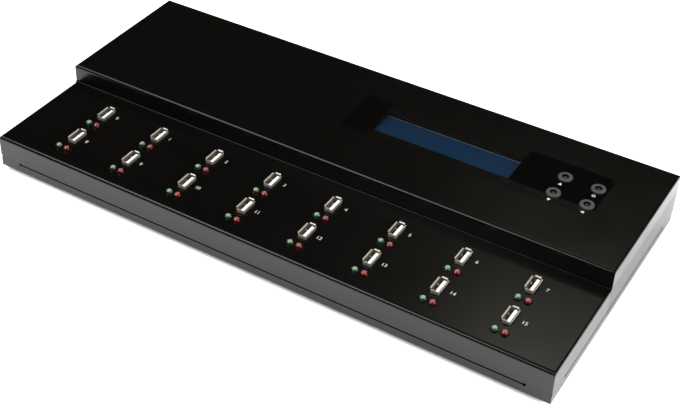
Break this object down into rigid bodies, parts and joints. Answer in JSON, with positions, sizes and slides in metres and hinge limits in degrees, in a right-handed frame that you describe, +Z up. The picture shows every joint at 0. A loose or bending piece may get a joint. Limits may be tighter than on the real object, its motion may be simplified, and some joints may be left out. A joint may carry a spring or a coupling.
{
  "type": "usb flash drive duplicator",
  "caption": "Flat stepped sheet-metal box that copies memory sticks: upright sockets with paired lights on a low front deck, display and round push buttons on a higher rear deck.",
  "frame": {"origin": "centre of the bounding box in plan, on the plane that the feet stand on", "axes": "+X to the right along the rows of sockets as the user sees them, +Y to the back, +Z up"},
  "size_m": [0.4112, 0.199, 0.0421],
  "materials": {
    "case_paint": "semi-gloss black paint on sheet steel",
    "zinc_steel": "zinc plate",
    "foot_rubber": "matte",
    "screw_steel": "black zinc",
    "circuit_board": "green solder mask",
    "chip_plastic": "moulded black",
    "bare_aluminium": "bare",
    "ferrite": "dark grey ferrite",
    "socket_shell": "bright nickel plate",
    "socket_white": "moulded white",
    "gilt_contact": "gold flash",
    "green_lens": "diffused epoxy, unlit",
    "red_lens": "diffused epoxy, unlit",
    "spacer_black": "moulded black",
    "film_black": "smooth polyester film",
    "window_acrylic": "clear acrylic",
    "gasket_foam": "black foam strip",
    "display_blue": "blue display glass, unlit",
    "light_box": "moulded white",
    "button_grey": "fine satin",
    "cable_grey": "soft vinyl",
    "wire_red": "soft vinyl",
    "socket_black": "moulded black",
    "rocker_black": "moulded black"
  },
  "bodies": {
    "chassis": {"top_cover": "case_paint", "base_pan": "case_paint", "cover_brackets": "zinc_steel", "board_standoffs": "zinc_steel", "deck_standoffs": "zinc_steel", "lcd_bezel": "zinc_steel", "rubber_feet": "foot_rubber", "case_screws": "screw_steel", "board_screws": "screw_steel", "main_board": "circuit_board", "port_board_left": "circuit_board", "port_board_right": "circuit_board", "lcd_board": "circuit_board", "keypad_board": "circuit_board", "controller_chip": "chip_plastic", "memory_chips": "chip_plastic", "hub_chips": "chip_plastic", "key_switches": "chip_plastic", "beeper": "chip_plastic", "ribbon_headers": "chip_plastic", "heatsink": "bare_aluminium", "capacitors": "bare_aluminium", "inductors": "ferrite", "usb_shell_01": "socket_shell", "usb_shell_02": "socket_shell", "usb_shell_03": "socket_shell", "usb_shell_04": "socket_shell", "usb_shell_05": "socket_shell", "usb_shell_06": "socket_shell", "usb_shell_07": "socket_shell", "usb_shell_08": "socket_shell", "usb_shell_09": "socket_shell", "usb_shell_10": "socket_shell", "usb_shell_11": "socket_shell", "usb_shell_12": "socket_shell", "usb_shell_13": "socket_shell", "usb_shell_14": "socket_shell", "usb_shell_15": "socket_shell", "usb_shell_16": "socket_shell", "usb_insulators": "socket_white", "usb_contacts": "gilt_contact", "dc_jack_pin": "gilt_contact", "switch_terminals": "gilt_contact", "green_leds": "green_lens", "red_leds": "red_lens", "led_spacers": "spacer_black", "display_overlay": "film_black", "display_window": "window_acrylic", "display_gasket": "gasket_foam", "lcd_glass": "display_blue", "lcd_backlight": "light_box", "ribbon_cables": "cable_grey", "power_wires": "wire_red", "dc_jack": "socket_black", "switch_housing": "socket_black"},
    "up_key": {"button_up": "button_grey"},
    "down_key": {"button_down": "button_grey"},
    "ok_key": {"button_ok": "button_grey"},
    "back_key": {"button_back": "button_grey"},
    "power_rocker": {"switch_rocker": "rocker_black"}
  },
  "joints": [
    {"name": "up_press", "type": "slide", "parent": "chassis", "child": "up_key", "axis": [0, 0, -1], "range_m": [0, 0.0005], "stiffness_N_per_m": 3000, "springref_m": -0.0003},
    {"name": "down_press", "type": "slide", "parent": "chassis", "child": "down_key", "axis": [0, 0, -1], "range_m": [0, 0.0005], "stiffness_N_per_m": 3000, "springref_m": -0.0003},
    {"name": "ok_press", "type": "slide", "parent": "chassis", "child": "ok_key", "axis": [0, 0, -1], "range_m": [0, 0.0005], "stiffness_N_per_m": 3000, "springref_m": -0.0003},
    {"name": "back_press", "type": "slide", "parent": "chassis", "child": "back_key", "axis": [0, 0, -1], "range_m": [0, 0.0005], "stiffness_N_per_m": 3000, "springref_m": -0.0003},
    {"name": "power_rock", "type": "hinge", "parent": "chassis", "child": "power_rocker", "pos_m": [-0.1106, 0.09353, 0.0165], "axis": [0, 0, -1], "range_deg": [0, 20]}
  ]
}
